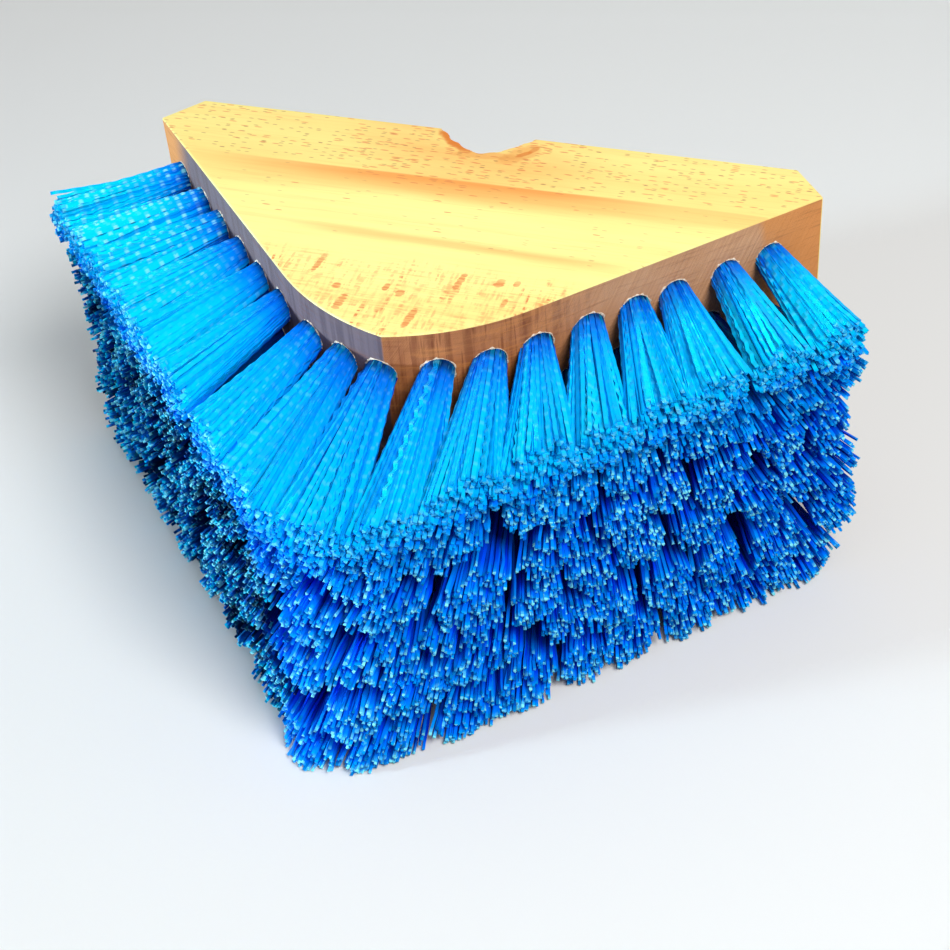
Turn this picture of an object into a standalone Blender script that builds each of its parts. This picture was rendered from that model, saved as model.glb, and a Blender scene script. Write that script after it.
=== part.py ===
"""Baseboard brush: a beech wedge with six staggered rows of bristle tufts in its two side faces.

Metres, +Z up. The origin is on the underside, midway from side to side, and halfway between the
back face and the trimmed nose of the bristles. The nose points along -Y. The handle socket slants
down into the block from the back and breaks out through the top.
"""

from collections import namedtuple
from math import cos, pi, radians, sin, sqrt, tan

import bmesh
import bpy
from mathutils import Euler, Matrix, Vector

# Block, whose side faces curve in to a blunt upright edge at the nose
BLOCK_HEIGHT = 0.092
BLOCK_WIDTH = 0.178
SIDE_ANGLE = radians(45)
CORNER_CLIP_WIDTH = 0.0083
CORNER_CLIP_DEPTH = 0.0104
NOSE_RADIUS = 0.065
NOSE_EDGE_ANGLE = radians(13)
NOSE_STEPS = 8
ARRIS = 0.0005

# Handle socket, tapered along its depth
SOCKET_SLOPE = radians(55)
SOCKET_MOUTH_DROP = 0.0117
SOCKET_MOUTH_DIAMETER = 0.0286
SOCKET_END_DIAMETER = 0.0238
SOCKET_DEPTH = 0.052
SOCKET_LEAD = 0.030
SOCKET_SIDES = 32

# Rows of tufts, counted from the top
FIRST_ROW_DROP = 0.012
LAST_ROW_RISE = 0.0115
ROW_END_MARGIN = 0.0137
TUFT_SPACING = 0.0130
TUFT_END_TURN = radians(46)
TUFT_DROOP = radians(5)

# Tuft holes
HOLE_DIAMETER = 0.008
HOLE_DEPTH = 0.013
HOLE_SIDES = 10

# Bristles
COLLAR_LENGTH = 0.003
TUFT_TIP_RADIUS = 0.0074
TRIM_OFFSET = 0.0364
TRIM_NOSE_RADIUS = 0.024
STRAND_SINK = 0.0012
STRAND_INSET = 0.0001
STRAND_FILL = 0.94

# Backing slices, which carry the rows below the single tufts
SLICE_THICKNESS = 0.003
SLICE_SHARE_OF_PITCH = 0.73
SLICE_MARGIN = 0.006

# Anchors, flat wires that hold the folded tufts in their holes
ANCHOR_LENGTH = 0.0094
ANCHOR_HEIGHT = 0.0020
ANCHOR_THICKNESS = 0.0006
ANCHOR_RISE = 0.0030

GAP = 0.0003
CUT_PAST = 0.004
WELD_DISTANCE = 0.00001

# Each row's name, how its tufts are carried, and the strands of a tuft
Row = namedtuple("Row", "name single anchored in_middle in_ring sides")
ROWS = (
    Row("top", True, True, 1, 6, 4),
    Row("second", True, False, 1, 4, 3),
    Row("third", False, False, 0, 4, 3),
    Row("fourth", False, False, 0, 4, 3),
    Row("fifth", False, False, 0, 4, 3),
    Row("sixth", False, False, 0, 4, 3),
)
Tuft = namedtuple("Tuft", "row number station root turn")

# Plan outlines: two slanted sides, offset from the block's, and an arc from each one to the nose
Outline = namedtuple("Outline", "offset radius edge_angle")
BLOCK = Outline(0, NOSE_RADIUS, NOSE_EDGE_ANGLE)
TRIM = Outline(TRIM_OFFSET, TRIM_NOSE_RADIUS, 0)


def apex_distance(offset):
    """From the back face to where the side lines would meet, with the sides moved out by offset."""
    return CORNER_CLIP_DEPTH + BLOCK_WIDTH / 2 * tan(SIDE_ANGLE) + offset / cos(SIDE_ANGLE)


def nose_distance(outline):
    across = 1 - sin(SIDE_ANGLE) * sin(outline.edge_angle)
    rounded_off = across / cos(SIDE_ANGLE) - cos(outline.edge_angle)
    return apex_distance(outline.offset) - outline.radius * rounded_off


def arc_width(outline):
    return outline.radius * (sin(SIDE_ANGLE) - sin(outline.edge_angle))


BACK_Y = nose_distance(TRIM) / 2
SIDE_LENGTH = (BLOCK_WIDTH / 2 - arc_width(BLOCK)) / cos(SIDE_ANGLE)
ARC_LENGTH = NOSE_RADIUS * (SIDE_ANGLE - NOSE_EDGE_ANGLE)
PATH_LENGTH = 2 * (SIDE_LENGTH + ARC_LENGTH)
ROW_PITCH = (BLOCK_HEIGHT - FIRST_ROW_DROP - LAST_ROW_RISE) / (len(ROWS) - 1)
SLICE_HEIGHT = ROW_PITCH * SLICE_SHARE_OF_PITCH
ROW_SPAN = PATH_LENGTH - 2 * ROW_END_MARGIN
LONG_ROW_TUFTS = round(ROW_SPAN / TUFT_SPACING) + 1
TUFT_PITCH = ROW_SPAN / (LONG_ROW_TUFTS - 1)
ROOT_RADIUS = HOLE_DIAMETER / 2 - GAP


def side_normal(side):
    """Outward normal in plan of the left (-1) or right (+1) side face."""
    return Vector((side * sin(SIDE_ANGLE), -cos(SIDE_ANGLE)))


def nose_centre(outline, side):
    """Centre of the arc between the left (-1) or right (+1) side and the nose."""
    nose_y = BACK_Y - nose_distance(outline)
    x = -side * outline.radius * sin(outline.edge_angle)
    return Vector((x, nose_y + outline.radius * cos(outline.edge_angle)))


def path_point(station, offset=0.0):
    """Plan point at a distance along left side, nose and right side, moved out by offset."""
    from_nose = station - PATH_LENGTH / 2
    side = -1 if from_nose < 0 else 1
    if abs(from_nose) > ARC_LENGTH:
        corner = Vector((side * BLOCK_WIDTH / 2, BACK_Y - CORNER_CLIP_DEPTH))
        along = Vector((-side * cos(SIDE_ANGLE), -sin(SIDE_ANGLE)))
        distance = PATH_LENGTH / 2 - abs(from_nose)
        return corner + along * distance + side_normal(side) * offset
    centre = nose_centre(BLOCK, side)
    radius = NOSE_RADIUS + offset
    x = centre.x + side * radius * sin(NOSE_EDGE_ANGLE + abs(from_nose) / NOSE_RADIUS)
    if abs(from_nose) < GAP:
        x = from_nose * cos(NOSE_EDGE_ANGLE)
    return Vector((x, centre.y - sqrt(radius**2 - (x - centre.x) ** 2)))


def path_stations(start, end):
    """The stations that draw the path from start to end."""
    middle = PATH_LENGTH / 2
    counts = range(-NOSE_STEPS, NOSE_STEPS + 1)
    steps = [middle + ARC_LENGTH * count / NOSE_STEPS for count in counts]
    return [start] + [s for s in steps if start + GAP < s < end - GAP] + [end]


def reach(start, heading, outline, inset=0.0):
    """How far along heading an outline lies, when it is moved in by inset."""
    flat_start = start.xy
    flat_heading = heading.xy
    apex = Vector((0, BACK_Y - apex_distance(outline.offset - inset)))
    distance = min(
        side_normal(side).dot(apex - flat_start) / side_normal(side).dot(flat_heading)
        for side in (-1, 1)
        if side_normal(side).dot(flat_heading) > 0
    )
    if abs((flat_start + flat_heading * distance).x) > arc_width(outline):
        return distance
    to_arcs = []
    for side in (-1, 1):
        from_centre = flat_start - nose_centre(outline, side)
        a = flat_heading.length_squared
        b = from_centre.dot(flat_heading)
        c = from_centre.length_squared - (outline.radius - inset) ** 2
        to_arcs.append((sqrt(max(b * b - a * c, 0)) - b) / a)
    return min(to_arcs)


def row_height(row):
    return BLOCK_HEIGHT - FIRST_ROW_DROP - row * ROW_PITCH


def row_tufts(row):
    """The tufts of one row. Every second row has one less, and stands between those above it."""
    short = row % 2
    tufts = []
    for number in range(LONG_ROW_TUFTS - short):
        station = ROW_END_MARGIN + (number + short / 2) * TUFT_PITCH
        plan = path_point(station)
        turn = TUFT_END_TURN * (station - PATH_LENGTH / 2) / (ROW_SPAN / 2)
        root = Vector((plan.x, plan.y, row_height(row)))
        tufts.append(Tuft(row, number, station, root, turn))
    return tufts


def tuft_rotation(tuft):
    """Turns +Z into the tuft's own direction and leaves +Y upwards."""
    return Euler((pi / 2 + TUFT_DROOP, 0, tuft.turn))


def tuft_matrix(tuft):
    return Matrix.LocRotScale(tuft.root, tuft_rotation(tuft), None)


def tuft_direction(tuft):
    return tuft_rotation(tuft).to_matrix().col[2]


def tuft_length(tuft):
    return reach(tuft.root, tuft_direction(tuft), TRIM)


def tuft_tip(tuft):
    return tuft.root + tuft_direction(tuft) * tuft_length(tuft)


def tip_radius(tuft, all_tufts):
    """A tuft flares to its full radius, or until it would meet a neighbour."""
    nearest = min(
        (tuft_tip(other) - tuft.root).cross(tuft_direction(tuft)).length
        for other in all_tufts
        if other is not tuft
    )
    return min(TUFT_TIP_RADIUS, nearest / 2 - GAP)


def make_material(name, colour, roughness, metallic=0.0):
    made = bpy.data.materials.new(name)
    made.use_nodes = True
    shader = made.node_tree.nodes["Principled BSDF"]
    shader.inputs["Base Color"].default_value = (*colour, 1)
    shader.inputs["Roughness"].default_value = roughness
    shader.inputs["Metallic"].default_value = metallic
    made.diffuse_color = (*colour, 1)
    return made


def add_object(name, mesh, collection, material=None):
    made = bpy.data.objects.new(name, mesh)
    collection.objects.link(made)
    if material and not mesh.materials:
        mesh.materials.append(material)
    if not material:
        made.hide_render = True
        made.display_type = "WIRE"
    return made


def mesh_from(name, shapes):
    mesh = bpy.data.meshes.new(name)
    shapes.to_mesh(mesh)
    shapes.free()
    return mesh


def prism(name, outline, low, high):
    """A plan outline drawn as a filled 2D curve, given its height and made a closed mesh."""
    curve = bpy.data.curves.new(name, "CURVE")
    curve.dimensions = "2D"
    curve.fill_mode = "BOTH"
    curve.extrude = (high - low) / 2
    spline = curve.splines.new("POLY")
    spline.points.add(len(outline) - 1)
    spline.use_cyclic_u = True
    for point, place in zip(spline.points, outline):
        point.co = (place.x, place.y, 0, 1)
    drawn = bpy.data.objects.new(name, curve)
    bpy.context.scene.collection.objects.link(drawn)
    drawn.location.z = (high + low) / 2
    bpy.context.view_layer.update()
    seen = drawn.evaluated_get(bpy.context.evaluated_depsgraph_get())
    mesh = bpy.data.meshes.new_from_object(seen)
    mesh.transform(drawn.matrix_world)
    bpy.data.objects.remove(drawn)
    shape = bmesh.new()
    shape.from_mesh(mesh)
    bmesh.ops.remove_doubles(shape, verts=shape.verts, dist=WELD_DISTANCE)
    bmesh.ops.recalc_face_normals(shape, faces=shape.faces)
    shape.to_mesh(mesh)
    shape.free()
    return mesh


def add_cone(shapes, start, end, start_radius, end_radius, sides, turn=0.0):
    """A tapered bar of the given sides between two points."""
    axis = end - start
    upright = axis.to_track_quat("Z", "Y").to_matrix().to_4x4()
    place = Matrix.Translation((start + end) / 2) @ upright @ Matrix.Rotation(turn, 4, "Z")
    bmesh.ops.create_cone(
        shapes,
        cap_ends=True,
        segments=sides,
        radius1=start_radius,
        radius2=end_radius,
        depth=axis.length,
        matrix=place,
    )


def add_box(shapes, centre, size, place):
    scale = Matrix.Diagonal((*size, 1))
    bmesh.ops.create_cube(shapes, size=1, matrix=place @ Matrix.Translation(centre) @ scale)


def combine(target, other, operation):
    cut = target.modifiers.new(other.name, "BOOLEAN")
    cut.operation = operation
    cut.solver = "EXACT"
    cut.object = other


def shade(made):
    made.data.shade_smooth()
    made.data.set_sharp_from_angle(angle=radians(20))


def strand_places(row):
    """Where a tuft's strands stand in its root circle, and the radius that fits them there."""
    circle = ROOT_RADIUS * cos(pi / HOLE_SIDES) - STRAND_INSET
    closest = 2 * sin(pi / row.in_ring)
    if row.in_middle:
        closest = min(closest, 1)
    ring = circle / (1 + closest / 2 * STRAND_FILL)
    places = [Vector((0, 0, 0))] * row.in_middle
    for n in range(row.in_ring):
        angle = 2 * pi * (n + 0.5) / row.in_ring
        places.append(Vector((ring * cos(angle), ring * sin(angle), 0)))
    return places, circle - ring


def add_strands(shapes, tuft, all_tufts, flare_start):
    """One tuft's strands in world space. They spread like a cone's rulings, so none can cross."""
    row = ROWS[tuft.row]
    place = tuft_matrix(tuft)
    places, radius = strand_places(row)
    flare = tip_radius(tuft, all_tufts) / ROOT_RADIUS - 1
    flare_length = tuft_length(tuft) - flare_start
    for spot in places:
        foot = place @ (spot + Vector((0, 0, flare_start)))
        lean = spot * flare / flare_length + Vector((0, 0, 1))
        heading = (place.to_3x3() @ lean).normalized()
        start = -STRAND_SINK
        if not row.single:
            start = reach(foot, heading, BLOCK, SLICE_THICKNESS / 2)
        end = reach(foot, heading, TRIM)
        widths = [radius * (1 + flare * t / flare_length) for t in (start, end)]
        add_cone(shapes, foot + heading * start, foot + heading * end, *widths, row.sides)


def make_single_tuft(tuft, all_tufts, seats, parts, cutters, material):
    """A tuft's round root, seated in its hole, with its strands joined to it."""
    name = f"{ROWS[tuft.row].name}_tuft_{tuft.number + 1:02d}"
    root = bmesh.new()
    bottom = Vector((0, 0, GAP - HOLE_DEPTH))
    add_cone(root, bottom, Vector((0, 0, COLLAR_LENGTH)), ROOT_RADIUS, ROOT_RADIUS, HOLE_SIDES)
    made = add_object(name, mesh_from(name, root), parts, material)
    made.location = tuft.root
    made.rotation_euler = tuft_rotation(tuft)
    shade(made)
    if ROWS[tuft.row].anchored:
        combine(made, seats, "DIFFERENCE")
    strands = bmesh.new()
    add_strands(strands, tuft, all_tufts, COLLAR_LENGTH)
    joined = add_object(f"{name}_strands", mesh_from(f"{name}_strands", strands), cutters)
    combine(made, joined, "UNION")
    return made


def make_row_slice(row, side, tufts, all_tufts, start, end, parts, cutters, material):
    """Half a row: its strands joined to a slice of the block's side face."""
    name = f"{ROWS[row].name}_row_{side}"
    stations = path_stations(start, end)
    outline = [path_point(s) for s in stations]
    outline += [path_point(s, -SLICE_THICKNESS) for s in reversed(stations)]
    low = row_height(row) - SLICE_HEIGHT / 2
    made = add_object(name, prism(name, outline, low, low + SLICE_HEIGHT), parts, material)
    strands = bmesh.new()
    for tuft in tufts:
        add_strands(strands, tuft, all_tufts, 0)
    joined = add_object(f"{name}_strands", mesh_from(f"{name}_strands", strands), cutters)
    combine(made, joined, "UNION")
    return made


def make_rebate(row, tufts, cutters):
    """The groove in the side faces that a row's two slices lie in."""
    name = f"{ROWS[row].name}_row_rebate"
    stations = path_stations(*slice_ends(tufts, -GAP))
    outline = [path_point(s, CUT_PAST) for s in stations]
    outline += [path_point(s, -SLICE_THICKNESS - GAP) for s in reversed(stations)]
    low = row_height(row) - SLICE_HEIGHT / 2 - GAP
    return add_object(name, prism(name, outline, low, low + SLICE_HEIGHT + 2 * GAP), cutters)


def slice_ends(tufts, inset):
    return (tufts[0].station - SLICE_MARGIN + inset, tufts[-1].station + SLICE_MARGIN - inset)


def make_holes(tufts, cutters):
    holes = bmesh.new()
    for tuft in tufts:
        place = tuft_matrix(tuft)
        bottom = place @ Vector((0, 0, -HOLE_DEPTH))
        mouth = place @ Vector((0, 0, CUT_PAST + HOLE_DIAMETER))
        add_cone(holes, bottom, mouth, HOLE_DIAMETER / 2, HOLE_DIAMETER / 2, HOLE_SIDES)
    return add_object("tuft_holes", mesh_from("tuft_holes", holes), cutters)


def anchor_centre():
    return Vector((0, 0, ANCHOR_RISE + ANCHOR_HEIGHT / 2 - HOLE_DEPTH))


def make_anchor_seats(tufts, cutters):
    """The room that each anchor takes, in the tuft and in the wood on both sides of the hole."""
    size = [length + 2 * GAP for length in (ANCHOR_THICKNESS, ANCHOR_LENGTH, ANCHOR_HEIGHT)]
    seats = bmesh.new()
    for tuft in tufts:
        add_box(seats, anchor_centre(), size, tuft_matrix(tuft))
    return add_object("anchor_seats", mesh_from("anchor_seats", seats), cutters)


def make_anchors(tufts, parts, material):
    wire = bmesh.new()
    size = (ANCHOR_THICKNESS, ANCHOR_LENGTH, ANCHOR_HEIGHT)
    add_box(wire, anchor_centre(), size, Matrix.Identity(4))
    mesh = mesh_from("anchor", wire)
    for tuft in tufts:
        name = f"{ROWS[tuft.row].name}_anchor_{tuft.number + 1:02d}"
        made = add_object(name, mesh, parts, material)
        made.location = tuft.root
        made.rotation_euler = tuft_rotation(tuft)


def make_socket(cutters):
    """The slanted tapered bore, from beyond the back face down to its flat bottom."""
    inward = Vector((0, -cos(SOCKET_SLOPE), -sin(SOCKET_SLOPE)))
    mouth = Vector((0, BACK_Y, BLOCK_HEIGHT - SOCKET_MOUTH_DROP))
    taper = (SOCKET_MOUTH_DIAMETER - SOCKET_END_DIAMETER) / 2 / SOCKET_DEPTH
    bore = bmesh.new()
    add_cone(
        bore,
        mouth + inward * SOCKET_DEPTH,
        mouth - inward * SOCKET_LEAD,
        SOCKET_END_DIAMETER / 2,
        SOCKET_MOUTH_DIAMETER / 2 + taper * SOCKET_LEAD,
        SOCKET_SIDES,
    )
    return add_object("handle_socket", mesh_from("handle_socket", bore), cutters)


def make_block(parts, material):
    half_back = BLOCK_WIDTH / 2 - CORNER_CLIP_WIDTH
    outline = [path_point(s) for s in path_stations(0, PATH_LENGTH)]
    outline += [Vector((half_back, BACK_Y)), Vector((-half_back, BACK_Y))]
    mesh = prism("brush_block", outline, 0, BLOCK_HEIGHT)
    made = add_object("brush_block", mesh, parts, material)
    shade(made)
    arris = made.modifiers.new("arris", "BEVEL")
    arris.width = ARRIS
    arris.segments = 1
    arris.limit_method = "ANGLE"
    arris.angle_limit = radians(30)
    return made


def clear_scene():
    for thing in list(bpy.data.objects):
        bpy.data.objects.remove(thing)


def main():
    clear_scene()
    parts = bpy.data.collections.new("baseboard_brush")
    cutters = bpy.data.collections.new("cutters")
    for collection in (parts, cutters):
        bpy.context.scene.collection.children.link(collection)
    beech = make_material("beech", (0.78, 0.50, 0.24), 0.6)
    bristle = make_material("bristle", (0.01, 0.22, 0.80), 0.35)
    steel = make_material("anchor_steel", (0.55, 0.55, 0.56), 0.4, 1.0)

    rows = [row_tufts(row) for row in range(len(ROWS))]
    all_tufts = [tuft for tufts in rows for tuft in tufts]
    single = [tuft for tuft in all_tufts if ROWS[tuft.row].single]
    anchored = [tuft for tuft in all_tufts if ROWS[tuft.row].anchored]

    block = make_block(parts, beech)
    combine(block, make_socket(cutters), "DIFFERENCE")
    combine(block, make_holes(single, cutters), "DIFFERENCE")
    seats = make_anchor_seats(anchored, cutters)
    combine(block, seats, "DIFFERENCE")

    for tuft in single:
        make_single_tuft(tuft, all_tufts, seats, parts, cutters, bristle)
    make_anchors(anchored, parts, steel)

    for row, tufts in enumerate(rows):
        if ROWS[row].single:
            continue
        combine(block, make_rebate(row, tufts, cutters), "DIFFERENCE")
        last_left = (len(tufts) + 1) // 2
        split = (tufts[last_left - 1].station + tufts[last_left].station) / 2
        start, end = slice_ends(tufts, 0)
        halves = {
            "left": (tufts[:last_left], start, split - GAP / 2),
            "right": (tufts[last_left:], split + GAP / 2, end),
        }
        for side, (carried, low, high) in halves.items():
            make_row_slice(row, side, carried, all_tufts, low, high, parts, cutters, bristle)


main()
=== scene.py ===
import random
from math import cos, exp, pi, radians, sin, sqrt, tan

import bmesh
import bpy
from mathutils import Matrix, Vector, noise
from mathutils.bvhtree import BVHTree


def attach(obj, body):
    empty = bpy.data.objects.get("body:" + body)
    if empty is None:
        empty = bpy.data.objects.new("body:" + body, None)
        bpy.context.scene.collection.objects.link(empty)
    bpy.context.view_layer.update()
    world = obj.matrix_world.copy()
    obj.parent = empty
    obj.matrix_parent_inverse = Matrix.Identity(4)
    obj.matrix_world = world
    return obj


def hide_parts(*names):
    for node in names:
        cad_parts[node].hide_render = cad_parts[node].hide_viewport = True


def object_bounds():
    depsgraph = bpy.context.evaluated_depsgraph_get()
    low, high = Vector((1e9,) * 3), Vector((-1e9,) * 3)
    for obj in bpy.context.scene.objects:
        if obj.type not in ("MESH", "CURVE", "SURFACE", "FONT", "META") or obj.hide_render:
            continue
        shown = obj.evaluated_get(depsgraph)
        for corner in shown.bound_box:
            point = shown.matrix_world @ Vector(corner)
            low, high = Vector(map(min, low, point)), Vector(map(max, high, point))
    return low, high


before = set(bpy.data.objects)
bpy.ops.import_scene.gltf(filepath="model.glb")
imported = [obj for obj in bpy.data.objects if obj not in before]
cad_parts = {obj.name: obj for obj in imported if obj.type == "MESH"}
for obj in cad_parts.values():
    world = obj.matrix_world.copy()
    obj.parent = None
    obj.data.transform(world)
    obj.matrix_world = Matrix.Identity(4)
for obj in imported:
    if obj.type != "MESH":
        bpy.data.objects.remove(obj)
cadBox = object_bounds()
print("frame loaded")


# A socket that takes part in sums, in shaders and in geometry nodes alike
class Wire:
    def __init__(self, graph, socket):
        self.graph, self.socket = graph, socket

    def __add__(self, other):
        return self.graph.math("ADD", self, other)

    def __radd__(self, other):
        return self.graph.math("ADD", other, self)

    def __sub__(self, other):
        return self.graph.math("SUBTRACT", self, other)

    def __rsub__(self, other):
        return self.graph.math("SUBTRACT", other, self)

    def __mul__(self, other):
        return self.graph.math("MULTIPLY", self, other)

    def __rmul__(self, other):
        return self.graph.math("MULTIPLY", other, self)

    def __truediv__(self, other):
        return self.graph.math("DIVIDE", self, other)

    def __rtruediv__(self, other):
        return self.graph.math("DIVIDE", other, self)

    def __pow__(self, other):
        return self.graph.math("POWER", self, other)

    def __gt__(self, other):
        return self.graph.math("GREATER_THAN", self, other)

    def __lt__(self, other):
        return self.graph.math("LESS_THAN", self, other)

    def __mod__(self, other):
        return self.graph.math("FLOORED_MODULO", self, other)


def isVector(term):
    return isinstance(term, Vector) or isinstance(term, Wire) and term.socket.type == "VECTOR"


class Graph:
    def __init__(self, tree):
        self.tree = tree

    def add(self, kind, settings=None, inputs=None, output=0):
        made = self.tree.nodes.new(kind)
        for name, value in (settings or {}).items():
            setattr(made, name, value)
        for key, value in (inputs or {}).items():
            if isinstance(value, Wire):
                self.tree.links.new(value.socket, made.inputs[key])
            else:
                made.inputs[key].default_value = value
        return Wire(self, made.outputs[output])

    def math(self, operation, *terms):
        if not any(isVector(term) for term in terms):
            return self.add("ShaderNodeMath", {"operation": operation}, dict(enumerate(terms)))
        wide = [term if isinstance(term, (Wire, Vector)) else Vector((term, term, term)) for term in terms]
        return self.vector(operation, *wide)

    def vector(self, operation, *terms):
        output = 1 if operation == "LENGTH" else 0
        return self.add("ShaderNodeVectorMath", {"operation": operation}, dict(enumerate(terms)), output)

    def combine(self, x, y, z):
        return self.add("ShaderNodeCombineXYZ", {}, {0: x, 1: y, 2: z})

    def separate(self, vector):
        made = self.add("ShaderNodeSeparateXYZ", {}, {0: vector})
        return [Wire(self, output) for output in made.socket.node.outputs]

    def smooth(self, value, low, high):
        settings = {"interpolation_type": "SMOOTHSTEP"}
        return self.add("ShaderNodeMapRange", settings, {0: value, 1: low, 2: high})

    def mix(self, factor, first, second):
        return self.add("ShaderNodeMix", {"data_type": "RGBA"}, {0: factor, 6: first, 7: second}, 2)


def srgb(red, green, blue):
    channels = [c / 255 for c in (red, green, blue)]
    return (*(c / 12.92 if c <= 0.04045 else ((c + 0.055) / 1.055) ** 2.4 for c in channels), 1)


# The block: its plan outline follows the same rules as the CAD part, and its holes lie in the same rows
block = {
    "width": 0.178,
    "height": 0.092,
    "backY": 0.070468,
    "clipWidth": 0.0083,
    "clipDepth": 0.0104,
    "arcRadius": 0.065,
    "edgeAngle": radians(13),
    "arcSteps": 20,
    "arris": 0.0004,
    "arrisSteps": 2,
    "arrisAbove": radians(30),
    "sharpAbove": radians(22),
    "socketSlope": radians(55),
    "socketDrop": 0.0117,
    "socketMouth": 0.0143,
    "socketEnd": 0.0119,
    "socketDepth": 0.052,
    "socketLead": 0.030,
    "socketRings": 56,
    "socketSides": 96,
    # how the wood broke out where the bore meets the top
    "tear": 0.0015,
    "tearBand": 0.005,
    "chips": 0.0008,
    "chipScales": (210, 620),
    "fineChips": 0.7,
}
rows = {
    "count": 6,
    "firstHeight": 0.080,
    "pitch": 0.0137,
    "endMargin": 0.0137,
    "longCount": 17,
    "holeRadius": 0.004,
    "holeDepth": 0.013,
    "holeSides": 20,
    "drillLead": 0.014,
    # how unevenly the tufts stand, in degrees: the top and the bottom row droop only by a share of it
    "seed": 4,
    "turnWander": 5,
    "droopWander": 3,
    "evenShare": 0.4,
    # six values in brackets stand for the six rows, from the top down
    "droops": [radians(angle) for angle in (5, 5.5, 5.5, 6, 6.5, 8)],
    "endTurn": radians(3),
    "leans": [radians(angle) for angle in (0, 1, 2, 3, 4, 4)],
    "leanFrom": -0.034,
    "swell": 0.16,
    "trimOffset": 0.0372,
    "trimSteps": 80,
    "trimStep": 0.0025,
    "trimHeights": (-0.1, 0.2),
    "proud": 0.0034,
    # from row to row downwards the nose is trimmed sharper, and drawn more to the left
    "trimRadii": (0.025, 0.024, 0.021, 0.018, 0.016, 0.015),
    "noseShifts": (0, 0.0005, 0.0015, 0.0025, 0.0035, 0.0050),
    "noseWidth": 0.018,
    # the top row from left to right, as the photograph shows it: how far from the nose each hole lies,
    # measured along the side faces in millimetres, and which way its tuft points in plan, in degrees
    "topPlaces": (
        -106, -91.6, -79.4, -65.9, -53.3, -40.2, -25.1, -12.9,
        -1.6, 12.1, 24.7, 37, 50.9, 63.8, 75, 89.8, 102.6,
    ),
    "topTurns": (
        -48.9, -49, -43.5, -36.4, -32.5, -26, -16.4, -7.8,
        0.4, 4.8, 9.6, 17, 19.4, 24.4, 30, 35, 39.8,
    ),
}
slant = radians(45)
cornerY = block["backY"] - block["clipDepth"]
apexY = cornerY - block["width"] / 2 * tan(slant)
arcWidth = block["arcRadius"] * (sin(slant) - sin(block["edgeAngle"]))
arcLength = block["arcRadius"] * (slant - block["edgeAngle"])
sideLength = (block["width"] / 2 - arcWidth) / cos(slant)
halfPath = sideLength + arcLength


def arcCentre(side):
    rise = (1 - sin(slant) * sin(block["edgeAngle"])) / cos(slant)
    return Vector((-side * block["arcRadius"] * sin(block["edgeAngle"]), apexY + block["arcRadius"] * rise))


def pathPoint(fromNose):  # a plan point on the side faces
    side = -1 if fromNose < 0 else 1
    if abs(fromNose) > arcLength:
        corner = Vector((side * block["width"] / 2, cornerY))
        return corner + Vector((-side * cos(slant), -sin(slant))) * (halfPath - abs(fromNose))
    turn = block["edgeAngle"] + abs(fromNose) / block["arcRadius"]
    return arcCentre(side) + Vector((side * sin(turn), -cos(turn))) * block["arcRadius"]


def sideOutline():
    steps = block["arcSteps"]
    stations = [-halfPath] + [arcLength * n / steps for n in range(-steps, steps + 1)] + [halfPath]
    return [pathPoint(station) for station in stations]


def prism(name, outline, low, high):  # the faces in the same order at each run
    shape = bmesh.new()
    bottom, top = ([shape.verts.new((p.x, p.y, z)) for p in outline] for z in (low, high))
    shape.faces.new(bottom)
    shape.faces.new(top)
    for n in range(len(outline)):
        shape.faces.new((bottom[n - 1], bottom[n], top[n], top[n - 1]))
    bmesh.ops.recalc_face_normals(shape, faces=shape.faces)
    return meshFrom(name, shape)


def meshFrom(name, shape):
    mesh = bpy.data.meshes.new(name)
    shape.to_mesh(mesh)
    shape.free()
    return mesh


def treeFrom(mesh):  # for rays that look for the mesh's faces
    shape = bmesh.new()
    shape.from_mesh(mesh)
    return BVHTree.FromBMesh(shape)


def place(name, mesh, *materials):
    made = bpy.data.objects.new(name, mesh)
    bpy.context.scene.collection.objects.link(made)
    for material in materials:
        mesh.materials.append(material)
    return made


def applied(thing):  # the evaluated object as a plain mesh, without its modifiers
    seen = thing.evaluated_get(bpy.context.evaluated_depsgraph_get())
    mesh = bpy.data.meshes.new_from_object(seen)
    thing.modifiers.clear()
    thing.data = mesh
    return mesh


def turnAt(fromNose):  # tufts lower down point the way their neighbours in the top row do
    known = [(p / 1000, t) for p, t in zip(rows["topPlaces"], rows["topTurns"])]
    before = max([k for k in known if k[0] <= fromNose] or known[:1])
    after = min([k for k in known if k[0] > fromNose] or known[-1:])
    share = (fromNose - before[0]) / (after[0] - before[0]) if after > before else 0
    return before[1] + (after[1] - before[1]) * share


def tuftList():
    tufts = []
    dice = random.Random(rows["seed"])
    pitch = 2 * (halfPath - rows["endMargin"]) / (rows["longCount"] - 1)
    for row in range(rows["count"]):
        short = row % 2
        count = rows["longCount"] - short
        even = rows["evenShare"] if row in (0, rows["count"] - 1) else 1
        for number in range(count):
            fromNose = rows["endMargin"] - halfPath + (number + short / 2) * pitch
            wander = 0
            if row == 0:
                fromNose = rows["topPlaces"][number] / 1000
            else:
                wander = dice.uniform(-rows["turnWander"], rows["turnWander"])
            turn = radians(turnAt(fromNose) + wander)
            fromEnd = min(number, count - 1 - number)
            if short and fromEnd < 2:
                turn += rows["endTurn"] * (1 - fromEnd / 2) * (1 if fromNose > 0 else -1)
            if rows["leanFrom"] < fromNose < 0:
                turn -= rows["leans"][row]
            wobble = radians(dice.uniform(-rows["droopWander"], rows["droopWander"]))
            droop = rows["droops"][row] + wobble * even
            spot = pathPoint(fromNose)
            root = Vector((spot.x, spot.y, rows["firstHeight"] - row * rows["pitch"]))
            axis = Vector((sin(turn) * cos(droop), -cos(turn) * cos(droop), -sin(droop)))
            swell = 1 + dice.uniform(-1, 1) * rows["swell"]
            tufts.append({"row": row, "number": number, "root": root, "axis": axis, "swell": swell})
    return tufts


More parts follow.
